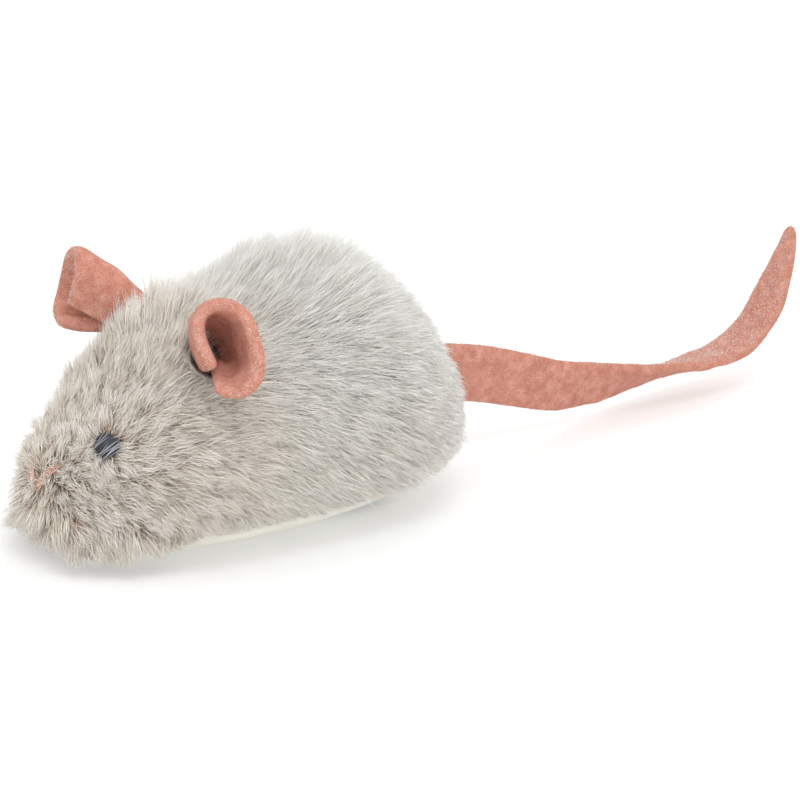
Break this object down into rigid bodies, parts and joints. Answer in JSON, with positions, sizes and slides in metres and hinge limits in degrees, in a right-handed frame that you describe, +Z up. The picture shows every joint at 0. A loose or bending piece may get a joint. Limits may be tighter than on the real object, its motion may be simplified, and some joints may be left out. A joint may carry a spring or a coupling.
{
  "type": "clockwork mouse",
  "caption": "Wind-up toy mouse: plush body on a plastic base, driven by a spring motor through rear wheels, with a front roller, side winding key, felt ears and a curled felt tail.",
  "frame": {"origin": "middle of the toy's bounding box on the surface that the wheels stand on", "axes": "+X towards the nose, +Y towards the mouse's left side, +Z up"},
  "size_m": [0.1706, 0.061, 0.0461],
  "materials": {
    "base_plastic": "smooth moulded ivory plastic, satin gloss",
    "motor_plastic": "fine-textured moulded plastic",
    "gear_plastic": "natural white moulded plastic",
    "wheel_plastic": "moulded plastic",
    "steel": "drawn bright steel",
    "spring_steel": "tempered spring strip, lightly oiled",
    "key_metal": "nickel-plated stamping, worn at the edges",
    "brass": "cut brass",
    "tyre_rubber": "soft matt rubber",
    "fibre": "loose polyester fill",
    "plush": "long soft pile, warm grey with darker roots",
    "felt": "thick pressed felt, fuzzy, salmon pink",
    "dark_thread": "satin-stitched embroidery thread",
    "pink_thread": "satin-stitched embroidery thread"
  },
  "bodies": {
    "root": {"base_tray": "base_plastic", "motor_housing": "motor_plastic", "housing_cover": "motor_plastic", "case_screws": "steel", "base_screws": "steel", "mainspring": "spring_steel", "roller_pin": "steel", "padding": "fibre", "plush_cover": "plush", "ear_left": "felt", "ear_right": "felt", "eye_left": "dark_thread", "eye_right": "dark_thread", "nose": "pink_thread", "tail": "felt"},
    "winding_arbor": {"winding_arbor": "steel", "great_wheel": "brass", "winding_key": "key_metal"},
    "second_shaft": {"second_shaft": "steel", "second_gear": "gear_plastic", "second_pinion": "brass"},
    "third_shaft": {"third_shaft": "steel", "third_gear": "gear_plastic", "third_pinion": "gear_plastic"},
    "drive_axle": {"drive_axle": "steel", "axle_pinion": "gear_plastic", "wheel_left": "wheel_plastic", "wheel_right": "wheel_plastic", "tyre_left": "tyre_rubber", "tyre_right": "tyre_rubber"},
    "front_roller": {"front_roller": "wheel_plastic"}
  },
  "joints": [
    {"name": "axle_spin", "type": "hinge", "parent": "root", "child": "drive_axle", "pos_m": [0.0255, 0.0035, 0.0075], "axis": [0, 1, 0], "continuous": true},
    {"name": "third_spin", "type": "hinge", "parent": "root", "child": "third_shaft", "pos_m": [0.0255, 0.0035, 0.01495], "axis": [0, 1, 0], "continuous": true},
    {"name": "second_spin", "type": "hinge", "parent": "root", "child": "second_shaft", "pos_m": [0.03233, 0.0035, 0.01921], "axis": [0, 1, 0], "continuous": true},
    {"name": "key_spin", "type": "hinge", "parent": "root", "child": "winding_arbor", "pos_m": [0.0415, 0.0035, 0.014], "axis": [0, 1, 0], "continuous": true},
    {"name": "roller_spin", "type": "hinge", "parent": "root", "child": "front_roller", "pos_m": [0.0635, 0.0035, 0.004], "axis": [0, 1, 0], "continuous": true}
  ],
  "couplings": [
    {"joint": "third_spin", "follows": "axle_spin", "ratio": -0.48},
    {"joint": "second_spin", "follows": "axle_spin", "ratio": 0.16},
    {"joint": "key_spin", "follows": "axle_spin", "ratio": -0.05}
  ]
}
